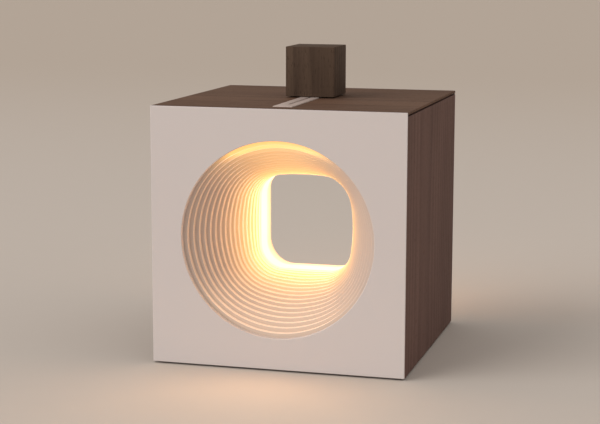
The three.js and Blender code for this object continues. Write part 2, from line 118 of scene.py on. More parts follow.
class FunnelSettings(PropertyGroup):
    """The stepped funnel that narrows from the round mouth to the glowing ring."""

    mouth_radius: length("Mouth radius", "Radius of the round mouth", 60.6)
    throat_half: length("Throat half width", "Half the rounded square throat's width", 31.4)
    throat_corner: length("Throat corner", "Corner radius of the throat", 16)
    flare_power: level("Flare", "How quickly the openings shrink near the mouth", 1.6)
    front_roundness: level("Front roundness", "How quickly the front openings lose their roundness", 0.68)
    rear_roundness: level("Rear roundness", "How quickly the rear openings lose their roundness", 3)
    steps: IntProperty(name="Steps", description="Sheets behind each panel", default=17, min=1)
    rim_points: IntProperty(name="Rim points", description="Points round each opening", default=192, min=12)
    rim_radius: length("Rim radius", "Rounding of each sheet's edges", 0.4)
    ring_edge: length("Ring edge", "Rounding of the ring's edges", 0.3)
    joint_gap: length("Joint gap", "Gap that each glued joint keeps", 0.1)
    running_gap: length("Running gap", "Gap round pieces that pass through a sheet", 0.3)


class CaseSettings(PropertyGroup):
    """The case's dark oiled walnut, and the felt under it."""

    dark: colour("Dark", "Late wood, the darker bands", 68, 48, 38)
    light: colour("Light", "Early wood, the lighter bands", 96, 70, 55)
    pore: colour("Pore", "Open pores", 30, 20, 15)
    ring_width: length("Ring width", "From one growth ring to the next", 5.5)
    roughness: number("Roughness", "Roughness of the oiled surface", 0.7, min=0, max=1, subtype="FACTOR")
    edge_radius: length("Edge radius", "Rounding of the boards' edges", 0.3)
    pad_corner: length("Felt corner", "Corner radius of the felt", 4)
    pad_edge: length("Felt edge", "Rounding of the felt's edges", 0.25)


class DimmerSettings(PropertyGroup):
    """The small cube on the lid and the rail that it slides on."""

    knob_edge: length("Knob edge", "Rounding of the cube's edges", 0.45)
    rail_edge: length("Rail edge", "Rounding of the rail's edges", 0.2)
    socket_width: length("Socket width", "Hole for the lever, across the rail", 1.2)
    socket_length: length("Socket length", "Hole for the lever, along the rail", 4.2)


class InletSettings(PropertyGroup):
    """The power inlet in the rear panel."""

    pin_radius: length("Pin", "Radius of the middle pin", 1)
    pin_setback: length("Pin setback", "From the face to the pin's tip", 1)
    pin_slope: length("Pin slope", "Slope round the pin's tip", 0.3)
    socket_radius: length("Socket", "Radius of the hole for a plug", 3.2)
    socket_depth: length("Socket depth", "From the face to the hole's floor", 9)
    socket_slope: length("Socket slope", "Slope round the hole's mouth", 0.35)
    flange_slope: length("Flange slope", "Slope round the flange's rim", 0.4)
    flange_thickness: length("Flange", "Thickness of the flange", 1.4)
    barrel_radius: length("Barrel", "Radius behind the flange", 4.8)
    barrel_length: length("Barrel length", "From the flange to the tail", 12)
    tail_radius: length("Tail", "Radius of the tail", 2.2)


class PaintSettings(PropertyGroup):
    """Colours of the finishes that aren't wood."""

    panel: colour("Panel", "Lacquer of the front and rear panels", 215, 204, 199)
    sheet: colour("Sheet", "Lacquer of the sheets in the funnels", 212, 194, 181)
    felt: colour("Felt", "Felt under the case", 172, 162, 154)
    rail: colour("Rail", "Satin strip in the lid", 206, 186, 176)
    zinc: colour("Zinc", "Screws, nut and dimmer housing", 176, 178, 182)
    aluminium: colour("Aluminium", "Carrier of the light tape", 200, 200, 202)
    plastic: colour("Plastic", "Inlet and wiper", 24, 24, 25)
    sheath: colour("Sheath", "Leads inside the case", 30, 30, 31)
    resist: colour("Resist", "Solder resist of the control board", 22, 82, 52)


class GlowSettings(PropertyGroup):
    """The ring's warm light, and the light painted on the sheets round it."""

    opal: colour("Opal", "The diffuser's own colour", 168, 146, 112)
    shown: colour("Glow", "Colour of the lit diffuser", 255, 245, 212)
    strength: level("Strength", "Strength of the lit diffuser", 1.1)
    tape: colour("Tape", "The light tape behind the diffuser", 232, 226, 206)
    thrown: colour("Light", "Colour of the light that the ring throws", 255, 198, 126)
    # Painted light: the sheets' glow below is emission painted by place on their faces and cut edges,
    # standing in for the ring's light on them
    painted_face_light: colour("Soaked light", "Colour of the light that soaks through the sheets", 255, 184, 78)
    painted_edge_light: colour("Edge light", "Colour of that light on their cut edges", 255, 214, 178)
    painted: level("Soaked strength", "Strength of the soaked light", 1)
    way_out_power: power("Outward power", "Thrown by the ring into each funnel", 0.05)
    way_out_size: level("Outward size", "That light's width, in half widths of the throat", 1.1)
    way_out_start: length("Outward start", "How far behind the middle it stands", 15)
    spilled: colour("Spilled light", "Colour of the light that leaves the mouths", 255, 214, 178)
    mouth_power: power("Mouth power", "Thrown out of each mouth on the floor", 0.08)
    mouth_size: level("Mouth size", "That light's width, in radii of the mouth", 1.2)


class StageSettings(PropertyGroup):
    """Floor, studio light and camera."""

    floor: colour("Floor", "Pale floor", 203, 190, 178)
    floor_radius: length("Floor radius", "How far the floor reaches", 30000)
    # Painted light falloff: the floor's colour darkens with depth behind the lamp
    fade_start: length("Fade start", "Depth where the floor starts to darken", 100)
    fade_end: length("Fade end", "Depth where it is darkest", 2500)
    fade: FloatVectorProperty(name="Fade", description="Shares left there", default=(0.88, 0.84, 0.79))
    backdrop: colour("Backdrop", "What is seen beyond the floor", 188, 176, 164)
    sky: level("Sky", "Level of the light from all round", 0.6)
    key: level("Key", "Strength of the broad light", 1.5)
    key_spread: angle("Key spread", "How broad the key light looks", 50)
    key_azimuth: angle("Key azimuth", "From the front towards the right", -50)
    key_elevation: angle("Key elevation", "How high the key light stands", 30)
    azimuth: angle("Azimuth", "From the front towards the right", 15.42)
    elevation: angle("Elevation", "How high the camera stands", 9.25)
    roll: angle("Roll", "The camera's slight tilt", 0.13)
    distance: length("Distance", "From the camera to what it looks at", 1041.2)
    focal_length: number("Focal length", "On a sensor 36 mm wide", 95.79, min=1, unit="CAMERA")
    aim_left: length("Aim left", "How far left of the middle the camera looks", 7.13)
    aim_height: length("Aim height", "How high the camera looks", 86.17)


class LampSettings(PropertyGroup):
    """All sizes and colours of the lamp's dress."""

    funnel: PointerProperty(type=FunnelSettings)
    case: PointerProperty(type=CaseSettings)
    dimmer: PointerProperty(type=DimmerSettings)
    inlet: PointerProperty(type=InletSettings)
    paint: PointerProperty(type=PaintSettings)
    glow: PointerProperty(type=GlowSettings)
    stage: PointerProperty(type=StageSettings)


def settings():
    return bpy.context.scene.cube_lamp


# Shader expressions


def maths(operation, swapped=False):
    """A method that adds a Math node to its field's finish."""

    def method(field, *others):
        values = (*others, field) if swapped else (field, *others)
        return field.finish.node("ShaderNodeMath", {"operation": operation}, dict(enumerate(values)))

    return method


class Field:
    """A shader socket's output. Arithmetic with it adds Math nodes to its finish."""

    def __init__(self, finish, socket):
        self.finish = finish
        self.socket = socket

    __add__ = __radd__ = maths("ADD")
    __sub__ = maths("SUBTRACT")
    __rsub__ = maths("SUBTRACT", swapped=True)
    __mul__ = __rmul__ = maths("MULTIPLY")
    __truediv__ = maths("DIVIDE")
    __pow__ = maths("POWER")
    __abs__ = maths("ABSOLUTE")
    at_least = maths("MAXIMUM")
    after_point = maths("FRACT")

    def smooth(self, low, high):
        """0 at the low value and 1 at the high one, with soft ends."""
        sockets = {"Value": self, "From Min": low, "From Max": high}
        return self.finish.node("ShaderNodeMapRange", {"interpolation_type": "SMOOTHSTEP"}, sockets)


class Finish:
    """The nodes of a material on Object coordinates, or of the world, written as expressions."""

    def __init__(self, owner):
        self.owner = owner
        self.owner.use_nodes = True
        self.tree = self.owner.node_tree
        self.tree.nodes.clear()

    def node(self, kind, choices=None, sockets=None, output=0):
        """Adds a node: its settings first, then the values or links of its sockets."""
        node = self.tree.nodes.new(kind)
        for name, choice in (choices or {}).items():
            setattr(node, name, choice)
        for name, value in (sockets or {}).items():
            if isinstance(value, Field):
                self.tree.links.new(value.socket, node.inputs[name])
            else:
                node.inputs[name].default_value = value
        return Field(self, node.outputs[output])

    def place(self):
        return self.node("ShaderNodeTexCoord", output="Object")

    def axes(self, vector):
        return [self.node("ShaderNodeSeparateXYZ", sockets={0: vector}, output=axis) for axis in range(3)]

    def stretched(self, vector, factors):
        return self.node("ShaderNodeVectorMath", {"operation": "MULTIPLY"}, {0: vector, 1: factors})

    def noise(self, vector, scale, detail=2.0, roughness=0.5):
        sockets = {"Vector": vector, "Scale": scale, "Detail": detail, "Roughness": roughness}
        return self.node("ShaderNodeTexNoise", sockets=sockets)

    def mixed(self, factor, first, second):
        """The first colour where the factor is 0, and the second where it is 1."""
        first, second = (tint if isinstance(tint, Field) else (*tint, 1) for tint in (first, second))
        return self.node("ShaderNodeMix", {"data_type": "RGBA"}, {0: factor, 6: first, 7: second}, output=2)

    def mottled(self, factor, tint, darkest):
        """A tint where the factor is 1, and only its darkest share where it is 0."""
        return self.mixed(factor, toned(tint, darkest), tint)

    def relief(self, height, depth, strength=0.5):
        sockets = {"Height": height, "Distance": depth, "Strength": strength}
        return self.node("ShaderNodeBump", sockets=sockets)

    def surface(self, **sockets):
        """Ends a material in a Principled shader. Socket names are written with _ for a blank."""
        values = {}
        for name, value in sockets.items():
            values[name.replace("_", " ")] = (*value, 1) if isinstance(value, tuple) else value
        return self.end(self.node("ShaderNodeBsdfPrincipled", sockets=values))

    def end(self, shader, kind="ShaderNodeOutputMaterial"):
        """Joins the shader to the output and returns the material or world."""
        target = self.tree.nodes.new(kind)
        self.tree.links.new(shader.socket, target.inputs["Surface"])
        return self.owner


def new_finish(name):
    return Finish(bpy.data.materials.new(name))


def toned(tint, shares):
    """A tint of which only a share is left, the same in each channel or its own."""
    if isinstance(shares, (int, float)):
        shares = (shares, shares, shares)
    return tuple(full * left for full, left in zip(tint, shares))


# Finishes


def walnut(name, grain, heart, tone_and_painted_light):
    """Walnut with growth rings round a heart line along the grain, fine fibres and short open pores.

    The heart is a place in millimetres on the two axes across the grain. The last factor is partly one
    board's own tone
    and partly painted light: it lightens most the right board, which stands in shadow, and least the one in
    the key light.
    """
    case = settings().case
    # Each colour is scaled by the board's factor: partly its own tone, partly painted light
    dark, light, pore = (toned(tint, tone_and_painted_light) for tint in (case.dark, case.light, case.pore))
    finish = new_finish(name)
    place = finish.place()
    # The place with only a share of its way along the grain, which draws patterns out
    slow, long, short = (
        finish.stretched(place, [along if axis == grain else 1.0 for axis in "XYZ"])
        for along in (0.22, 0.035, 0.12)
    )
    across = [field for axis, field in zip("XYZ", finish.axes(place)) if axis != grain]
    reach = sum(((field - at * MM) ** 2 for field, at in zip(across, heart)), start=0) ** 0.5
    sway = finish.noise(slow, scale=16)
    rings = (reach / case.ring_width + sway * 2.6).after_point()
    late = rings.smooth(0.15, 0.9) * (1 - rings.smooth(0.93, 1.0))
    broad = finish.noise(slow, scale=34, detail=3, roughness=0.6)
    fibres = finish.noise(long, scale=900, detail=4, roughness=0.62)
    hairs = finish.noise(long, scale=2600, detail=2, roughness=0.6)
    pores = finish.noise(short, scale=1900, detail=1, roughness=0.4).smooth(0.63, 0.72)
    tone = (0.2 * (1 - late) + 0.62 * broad + 0.5 * (fibres - 0.5) + 0.2 * (hairs - 0.5)).smooth(0.05, 0.85)
    return finish.surface(
        Base_Color=finish.mixed(pores * 0.45, finish.mixed(tone, dark, light), pore),
        Roughness=case.roughness + 0.12 * (fibres - 0.5) + pores * 0.12,
        Specular_IOR_Level=0.14,
        Specular_Tint=(1, 0.78, 0.6),
        Normal=finish.relief(fibres * 0.5 + hairs * 0.2 - pores * 0.8, depth=0.06 * MM, strength=0.6),
    )


def lacquered_panel():
    """Matt white lacquer, with the faint unevenness of a sprayed board."""
    finish = new_finish("white_panel")
    place = finish.place()
    cloud = finish.noise(place, scale=14, detail=3)
    peel = finish.noise(place, scale=750)
    grit = finish.noise(place, scale=3600, detail=1)
    return finish.surface(
        Base_Color=finish.mottled(cloud * 0.5 + grit * 0.5, settings().paint.panel, darkest=0.965),
        Roughness=0.52 + 0.1 * (peel - 0.5) + 0.08 * (grit - 0.5),
        Specular_IOR_Level=0.35,
        Normal=finish.relief(peel * 0.6 + grit * 0.4, depth=0.02 * MM),
    )


def painted_ring_light(finish, place):
    """How much light is painted on the sheets as emission: beside the ring, on the ceiling and below.

    All places are measured from the middle of the ring. The ceiling's painted glow spreads from a spot a
    little to the left, and a painted highlight makes it brightest in a crescent just behind the panel.
    """
    beside_fade = (4 * MM, 71 * MM)
    spot_left = 4 * MM
    spot_height = 62 * MM
    spot_fade = (6 * MM, 58 * MM)
    crescent_depth = (67 * MM, 76 * MM)
    crescent_height = (36 * MM, 58 * MM)
    crescent_gain = 2.6
    ceiling_share = 0.5
    below_fade = (-52 * MM, -20 * MM)
    x, depth, height = finish.axes(place)
    depth = abs(depth)
    height = height - case_middle()
    beside = 1 - depth.smooth(*beside_fade)
    from_spot = ((x + spot_left) ** 2 + (height - spot_height) ** 2) ** 0.5
    ceiling = 1 - from_spot.smooth(*spot_fade)
    crescent = ceiling * (depth.smooth(*crescent_depth) * height.smooth(*crescent_height))
    below = 1 - height.smooth(*below_fade)
    return beside * beside, ceiling * (ceiling_share + crescent * crescent_gain), below


def sheet_finish(name, tone, marks, depth, tint, beside, ceiling, below, evenly):
    """White lacquer on thin board, with painted light: emission that stands in for the ring's light on it.

    The marks are the place's shares in the fine pattern, and the last four are shares of the painted light.
    """
    # How much of the painted glow beside the ring the ceiling's painted glow goes without
    dimmed = 0.7
    finish = new_finish(name)
    place = finish.place()
    grit = finish.noise(finish.stretched(place, marks), scale=3000)
    near, above, under = painted_ring_light(finish, place)
    # Painted light: the ring's glow, the ceiling's glow and its crescent, laid on as emission by place
    glow = (near * beside) * (1 - above * dimmed) + above * ceiling + under * below + evenly
    return finish.surface(
        Base_Color=finish.mottled(grit, toned(settings().paint.sheet, tone), darkest=0.95),
        Roughness=0.62 + 0.12 * (grit - 0.5),
        Specular_IOR_Level=0.3,
        Normal=finish.relief(grit, depth),
        Emission_Color=finish.mixed(glow, (0, 0, 0), tint),
        Emission_Strength=settings().glow.painted,
    )


def lacquered_sheet():
    """The sheets' faces, with an orange painted glow that stands in for the ring's light in the funnel."""
    tint = settings().glow.painted_face_light
    shares = {"beside": 1.3, "ceiling": 0.96, "below": 0.09, "evenly": 0}
    return sheet_finish("white_sheet", tone=1, marks=(1, 1, 1), depth=0.015 * MM, tint=tint, **shares)


def cut_edge():
    """The walls of the openings: a tone darker, with the cutter's fine marks through the thickness, and a
    paler painted glow.
    """
    tint = settings().glow.painted_edge_light
    shares = {"beside": 0.42, "ceiling": 1, "below": 0.34, "evenly": 0.12}
    return sheet_finish("cut_edge", tone=0.92, marks=(1, 0.06, 1), depth=0.03 * MM, tint=tint, **shares)


def opal():
    """Frosted opal plastic, lit from behind and a little warmer at its lips."""
    glow = settings().glow
    lip_start = 4.5 * MM
    lip_end = 8 * MM
    finish = new_finish("opal_diffuser")
    place = finish.place()
    frost = finish.noise(place, scale=2400)
    lips = abs(finish.axes(place)[1]).smooth(lip_start, lip_end)
    warm = toned(glow.shown, (1.0, 0.86, 0.62))
    return finish.surface(
        Base_Color=finish.mottled(frost, glow.opal, darkest=0.97),
        Roughness=0.55 + 0.1 * frost,
        Specular_IOR_Level=0.15,
        Emission_Color=finish.mixed(lips * 0.8, glow.shown, warm),
        Emission_Strength=glow.strength,
    )


def felt():
    """Natural wool felt: matted fibres with a soft sheen."""
    finish = new_finish("felt")
    place = finish.place()
    tangle = finish.noise(place, scale=1300, detail=4, roughness=0.7)
    clumps = finish.noise(place, scale=220)
    return finish.surface(
        Base_Color=finish.mottled(tangle * 0.7 + clumps * 0.3, settings().paint.felt, darkest=0.5),
        Roughness=0.9 + 0.08 * (tangle - 0.5),
        Sheen_Weight=0.35,
        Normal=finish.relief(tangle, depth=0.25 * MM, strength=0.8),
    )


def brushed(name, tint, metallic, roughness):
    """Metal brushed along the lamp's depth, bare or under a satin coat."""
    finish = new_finish(name)
    place = finish.place()
    strokes = finish.noise(finish.stretched(place, (1, 0.02, 1)), scale=5200, detail=3, roughness=0.65)
    cloud = finish.noise(place, scale=90)
    return finish.surface(
        Base_Color=finish.mottled(strokes * 0.6 + cloud * 0.4, tint, darkest=0.86),
        Metallic=metallic,
        Roughness=roughness + 0.16 * (strokes - 0.5) + 0.06 * (cloud - 0.5),
        Normal=finish.relief(strokes, depth=0.012 * MM, strength=0.6),
    )


def plated():
    """Zinc plating with its fine crystals."""
    finish = new_finish("steel")
    place = finish.place()
    crystals = finish.node("ShaderNodeTexVoronoi", sockets={"Vector": place, "Scale": 700})
    haze = finish.noise(place, scale=160, detail=3)
    return finish.surface(
        Base_Color=finish.mottled(crystals * 0.6 + haze * 0.4, settings().paint.zinc, darkest=0.8),
        Metallic=1.0,
        Roughness=0.33 + 0.14 * haze,
        Normal=finish.relief(crystals, depth=0.01 * MM),
    )


def moulded(name, tint, roughness, grain):
    """Moulded plastic with the fine eroded grain of its tool."""
    finish = new_finish(name)
    grit = finish.noise(finish.place(), scale=grain, detail=3)
    return finish.surface(
        Base_Color=finish.mixed(grit, toned(tint, 0.8), toned(tint, 1.15)),
        Roughness=roughness + 0.12 * (grit - 0.5),
        Normal=finish.relief(grit, depth=0.02 * MM),
    )


def black_plastic():
    return moulded("black_plastic", settings().paint.plastic, roughness=0.45, grain=1500)


def light_tape():
    """White tape with a lit, warm phosphor window on each diode."""
    glow = settings().glow
    window_top = 1.2 * MM
    window_bottom = 2.2 * MM
    half_window = 1.6 * MM
    window_blur = 0.5 * MM
    low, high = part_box("led_strip")
    finish = new_finish("led_tape")
    place = finish.place()
    x, depth, height = finish.axes(place)
    from_middle = abs(x).at_least(abs(height - (low.z + high.z) / 2))
    inward = 1 - from_middle.smooth(high.x - window_bottom, high.x - window_top)
    window = inward * (1 - abs(depth).smooth(half_window, half_window + window_blur))
    weave = finish.noise(place, scale=1800)
    return finish.surface(
        Base_Color=finish.mottled(weave, glow.tape, darkest=0.9),
        Roughness=0.5 + 0.1 * weave,
        Emission_Color=finish.mixed(window, (0, 0, 0), glow.shown),
        Emission_Strength=glow.strength,
    )


def circuit():
    """Green board with paler traces. What stands on its face is dark plastic."""
    paint = settings().paint
    part_height = 4 * MM
    solder_height = 0.4 * MM
    lane_width = 2.5 * MM
    low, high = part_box("control_board")
    board_face = high.y - part_height
    finish = new_finish("circuit_board")
    place = finish.place()
    x, depth, height = finish.axes(place)
    raised = 1 - depth.smooth(board_face - solder_height, board_face)
    lanes = abs((x / lane_width).after_point() - 0.5).smooth(0.12, 0.2)
    bends = finish.noise(finish.stretched(place, (1, 1, 0.2)), scale=160, detail=0).smooth(0.48, 0.52)
    traces = (1 - lanes) * bends
    resist = finish.mixed(traces, paint.resist, toned(paint.resist, 1.9))
    return finish.surface(
        Base_Color=finish.mixed(raised, resist, paint.plastic),
        Roughness=0.42 + 0.1 * finish.noise(place, scale=900),
        Normal=finish.relief(traces * (1 - raised), depth=0.03 * MM, strength=0.6),
    )


def pale_floor():
    """A plain pale floor, with painted darkening in the distance where the light falls off."""
    stage = settings().stage
    finish = new_finish("floor")
    place = finish.place()
    grain = finish.noise(place, scale=60, detail=3)
    # Painted light falloff, darker with depth
    far = finish.axes(place)[1].smooth(stage.fade_start, stage.fade_end)
    return finish.surface(
        Base_Color=finish.mixed(grain * 0.1 + far * 0.9, stage.floor, toned(stage.floor, stage.fade)),
        Roughness=0.85,
        Specular_IOR_Level=0.15,
    )


def finish_once(name, make):
    """The material of that name, made the first time it is asked for."""
    return bpy.data.materials.get(name) or make()


# Modelling by operators


def leave_all():
    bpy.ops.object.select_all(action="DESELECT")


def take(piece):
    """Selects one piece alone and makes it the active one."""
    leave_all()
    piece.select_set(True)
    bpy.context.view_layer.objects.active = piece


def settled(name):
    """Names the new primitive, and puts its place and size into its mesh."""
    piece = bpy.context.object
    piece.name = name
    take(piece)
    bpy.ops.object.transform_apply(location=True, rotation=True, scale=True)
    return piece


def block(name, low, high):
    """A block between two corners."""
    leave_all()
    low, high = Vector(low), Vector(high)
    bpy.ops.mesh.primitive_cube_add(size=1, location=(low + high) / 2, scale=high - low)
    return settled(name)


def rod(name, radius, front, rear, axis):
    """A round bar along the depth."""
    leave_all()
    bpy.ops.mesh.primitive_cylinder_add(
        vertices=TURNED_SIDES,
        radius=radius,
        depth=rear - front,
        location=(axis.x, (front + rear) / 2, axis.z),
        rotation=(math.pi / 2, 0, 0),
    )
    return settled(name)


def start_editing(piece, kind):
    """Enters edit mode with nothing selected, to select faces, edges or vertices."""
    take(piece)
    bpy.ops.object.mode_set(mode="EDIT")
    bpy.ops.mesh.select_mode(type=kind)
    bpy.ops.mesh.select_all(action="DESELECT")


def stop_editing():
    bpy.ops.object.mode_set(mode="OBJECT")


def select(piece, parts, wanted):
    """Selects the faces, edges or verts of the mesh in edit mode that the test wants."""
    mesh = bmesh.from_edit_mesh(piece.data)
    bpy.ops.mesh.select_all(action="DESELECT")
    for part in getattr(mesh, parts):
        if wanted(part):
            part.select_set(True)
    bmesh.update_edit_mesh(piece.data)


def modify(piece, kind, **choices):
    """Adds a modifier and applies it."""
    take(piece)
    modifier = piece.modifiers.new(kind.lower(), kind)
    for name, choice in choices.items():
        setattr(modifier, name, choice)
    bpy.ops.object.modifier_apply(modifier=modifier.name)


def carve(piece, *cutters):
    """Cuts each cutter out of a piece and deletes the cutter."""
    for cutter in cutters:
        modify(piece, "BOOLEAN", operation="DIFFERENCE", solver="EXACT", object=cutter)
        bpy.data.objects.remove(cutter)
    return piece


def soften(piece, radius, segments=2):
    """Rounds every sharp edge."""
    modify(piece, "BEVEL", limit_method="ANGLE", angle_limit=SHARP, width=radius, segments=segments)
    return piece


def twin(piece, name):
    """A copy with its own mesh."""
    copy = piece.copy()
    copy.data = piece.data.copy()
    copy.name = name
    bpy.context.scene.collection.objects.link(copy)
    return copy


def from_node(node, name, radius):
    """A merged copy of a CAD node, its flat faces joined and its edges rounded."""
    piece = twin(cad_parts[node], name)
    piece.parent = None
    start_editing(piece, "VERT")
    bpy.ops.mesh.select_all(action="SELECT")
    bpy.ops.mesh.remove_doubles(threshold=MERGE)
    bpy.ops.mesh.dissolve_limited(angle_limit=FLAT)
    stop_editing()
    return soften(piece, radius)


def dress(piece, material, slot, body, *nodes):
    """Gives a finished piece its material and shading, rides it on its body and hides the CAD nodes that it
    stands for.
    """
    piece.data.materials.clear()
    piece.data.materials.append(material)
    take(piece)
    bpy.ops.object.shade_smooth_by_angle(angle=CURVED)
    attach(piece, body)
    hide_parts(*nodes)
    return piece


def repaint(material, *nodes):
    """Gives CAD nodes that keep their shape their material."""
    for node in nodes:
        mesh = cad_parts[node].data
        mesh.materials.clear()
        mesh.materials.append(material)


# Funnel shapes


def throat_reach(turn):
    """Distance from the middle of the throat to its edge, in the direction given."""
    funnel = settings().funnel
    octant = abs(((turn + math.pi / 4) % (math.pi / 2)) - math.pi / 4)
    middle = funnel.throat_half - funnel.throat_corner
    if math.tan(octant) <= middle / funnel.throat_half:
        return funnel.throat_half / math.cos(octant)
    along = middle * (math.cos(octant) + math.sin(octant))
    return along + math.sqrt(funnel.throat_corner**2 - 2 * middle**2 + along**2)


def opening_reach(turn, step, roundness):
    """Distance from the middle to the opening's edge after a number of steps inwards."""
    funnel = settings().funnel
    way_left = 1 - step / (funnel.steps + 1)
    half = funnel.throat_half + way_left**funnel.flare_power * (funnel.mouth_radius - funnel.throat_half)
    round_share = way_left**roundness
    return (1 - round_share) * half / funnel.throat_half * throat_reach(turn) + round_share * half


def opening_cutter(step, front, rear, roundness=1):
    """The opening of a sheet as a solid: a ring of points in its shape, filled and extruded."""
    funnel = settings().funnel
    leave_all()
    bpy.ops.mesh.primitive_circle_add(vertices=funnel.rim_points, radius=1, fill_type="NGON")
    cutter = bpy.context.object
    middle = case_middle()
    for index, vertex in enumerate(cutter.data.vertices):
        turn = index * math.tau / funnel.rim_points
        reach = opening_reach(turn, step, roundness)
        vertex.co = (reach * math.cos(turn), front - OVERRUN, middle + reach * math.sin(turn))
    start_editing(cutter, "FACE")
    bpy.ops.mesh.select_all(action="SELECT")
    bpy.ops.mesh.extrude_region_move(TRANSFORM_OT_translate={"value": (0, rear - front + 2 * OVERRUN, 0)})
    bpy.ops.mesh.select_all(action="SELECT")
    bpy.ops.mesh.normals_make_consistent(inside=False)
    stop_editing()
    return cutter


def case_middle():
    """Height of the funnels' axis."""
    low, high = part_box("diffuser_ring")
    return (low.z + high.z) / 2


def grown(node, gap):
    """A CAD node's box with a gap all round."""
    low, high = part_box(node)
    margin = Vector((gap, gap, gap))
    return low - margin, high + margin


def blank_sheet(node, has_pocket, has_channel):
    """A sheet before its opening is cut: notched for the posts, the dimmer and the power lead."""
    funnel = settings().funnel
    low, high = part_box(node)
    sheet = block("blank_sheet", low, high)
    for post in ("post_low_left", "post_low_right", "post_high_left", "post_high_right"):
        corner_low, corner_high = grown(post, funnel.joint_gap)
        corner_low.x -= OVERRUN if corner_low.x < 0 else 0
        corner_high.x += OVERRUN if corner_high.x > 0 else 0
        corner_low.z -= OVERRUN if corner_low.z < case_middle() else 0
        corner_high.z += OVERRUN if corner_high.z > case_middle() else 0
        carve(sheet, block("notch", corner_low, corner_high))
    if has_pocket:
        pocket_low, pocket_high = grown("fader_housing", funnel.running_gap)
        pocket_low.y = low.y - OVERRUN
        pocket_high.y = high.y + OVERRUN
        pocket_high.z += OVERRUN
        carve(sheet, block("pocket", pocket_low, pocket_high))
    if has_channel:
        nut_low, nut_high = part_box("inlet_nut")
        centre = (nut_low + nut_high) / 2
        half = (nut_high.x - nut_low.x) / 2 + funnel.running_gap + OVERRUN
        channel_low = (centre.x - half, low.y - OVERRUN, low.z - OVERRUN)
        channel_high = (centre.x + half, high.y + OVERRUN, centre.z + half)
        carve(sheet, block("channel", channel_low, channel_high))
    return sheet


def sheet(node, step, blanks):
    """One sheet of a stack, cut from a copy of the blank that it shares with its neighbours."""
    funnel = settings().funnel
    low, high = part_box(node)
    fader_low, fader_high = grown("fader_housing", funnel.running_gap)
    notches = (low.y < fader_high.y and high.y > fader_low.y, low.y > 0)
    if notches not in blanks:
        blanks[notches] = (blank_sheet(node, *notches), low.y)
    blank, start = blanks[notches]
    piece = twin(blank, node.replace("layer", "sheet"))
    piece.data.transform(Matrix.Translation((0, low.y - start, 0)))
    roundness = funnel.front_roundness if low.y < 0 else funnel.rear_roundness
    carve(piece, opening_cutter(step, low.y, high.y, roundness))
    return soften(piece, funnel.rim_radius)


def panel(node, name, side):
    """An outer panel: a thin lip over the case's edges, and a plug inset from it that fits inside.

    The side is -1 in front and 1 in the rear.
    """
    funnel = settings().funnel
    low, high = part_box(node)
    sheet_low, sheet_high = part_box(node.replace("panel", "layer_01"))
    wall_low, wall_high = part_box("right_wall")
    outer = low.y if side < 0 else high.y
    lip_inner = side * (wall_high.y + funnel.joint_gap)
    plug_inner = side * (max(abs(sheet_low.y), abs(sheet_high.y)) + funnel.joint_gap)
    first_inset = 2 * MM
    piece = block(name, (low.x, min(outer, lip_inner), low.z), (high.x, max(outer, lip_inner), high.z))
    start_editing(piece, "FACE")
    select(piece, "faces", lambda face: face.normal.y * side < -FACING)
    bpy.ops.mesh.inset(thickness=first_inset)
    middle = Vector((0, lip_inner, (low.z + high.z) / 2))
    width = (sheet_high.x - sheet_low.x) / (high.x - low.x - 2 * first_inset)
    rise = (sheet_high.z - sheet_low.z) / (high.z - low.z - 2 * first_inset)
    bpy.ops.transform.resize(value=(width, 1, rise), center_override=middle)
    bpy.ops.transform.translate(value=(0, 0, (sheet_low.z + sheet_high.z) / 2 - middle.z))
    bpy.ops.mesh.extrude_region_move(TRANSFORM_OT_translate={"value": (0, plug_inner - lip_inner, 0)})
    stop_editing()
    return carve(piece, opening_cutter(0, min(outer, plug_inner), max(outer, plug_inner)))


def direction(azimuth, elevation):
    """From the lamp towards an angle to the right of its front, and a height."""
    flat = math.cos(elevation)
    return Vector((math.sin(azimuth) * flat, -math.cos(azimuth) * flat, math.sin(elevation)))


